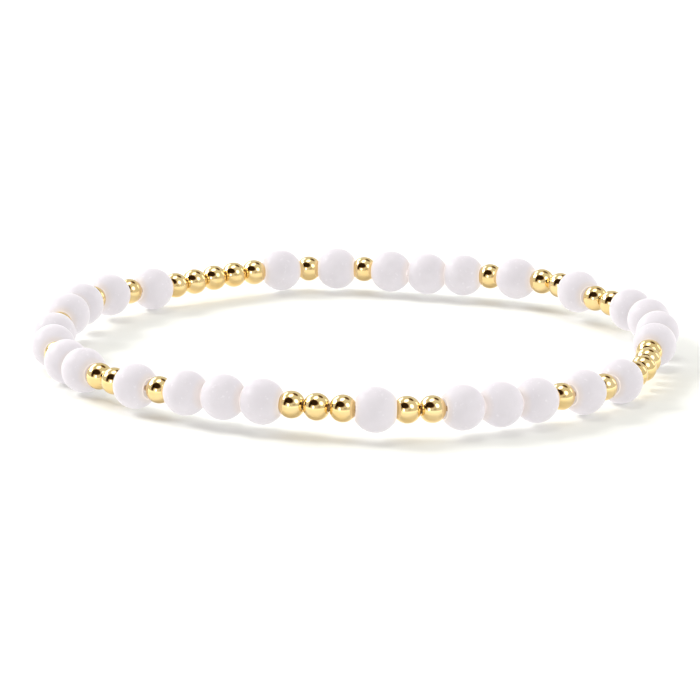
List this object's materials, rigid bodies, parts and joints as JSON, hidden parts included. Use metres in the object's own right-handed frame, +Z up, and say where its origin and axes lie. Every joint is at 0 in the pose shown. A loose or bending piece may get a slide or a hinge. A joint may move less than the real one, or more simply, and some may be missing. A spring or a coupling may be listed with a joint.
{
  "type": "beaded bracelet",
  "caption": "Stretch bracelet of barrel-shaped white beads and small round gold beads on one elastic thread, lying as a soft, slightly wavy loop.",
  "frame": {"origin": "under the middle of the loop, on the surface that it lies on", "axes": "+X along the long way of the loop, +Z up out of the wrist hollow"},
  "size_m": [0.0742, 0.069, 0.006],
  "materials": {
    "white_bead": "opaque milky white with a faint lilac tint, soft gloss",
    "gold_bead": "polished pale gold plating",
    "thread": "clear elastic thread that takes on the tone of the beads beside it"
  },
  "bodies": {
    "root": {"gold_beads": "gold_bead", "elastic_thread": "thread", "white_bead_01": "white_bead", "white_bead_02": "white_bead", "white_bead_03": "white_bead", "white_bead_04": "white_bead", "white_bead_05": "white_bead", "white_bead_06": "white_bead", "white_bead_07": "white_bead", "white_bead_08": "white_bead", "white_bead_09": "white_bead", "white_bead_10": "white_bead", "white_bead_11": "white_bead", "white_bead_12": "white_bead", "white_bead_13": "white_bead", "white_bead_14": "white_bead", "white_bead_15": "white_bead", "white_bead_16": "white_bead", "white_bead_17": "white_bead", "white_bead_18": "white_bead", "white_bead_19": "white_bead", "white_bead_20": "white_bead", "white_bead_21": "white_bead", "white_bead_22": "white_bead", "white_bead_23": "white_bead", "white_bead_24": "white_bead", "white_bead_25": "white_bead", "white_bead_26": "white_bead", "white_bead_27": "white_bead", "white_bead_28": "white_bead", "white_bead_29": "white_bead"}
  },
  "joints": []
}
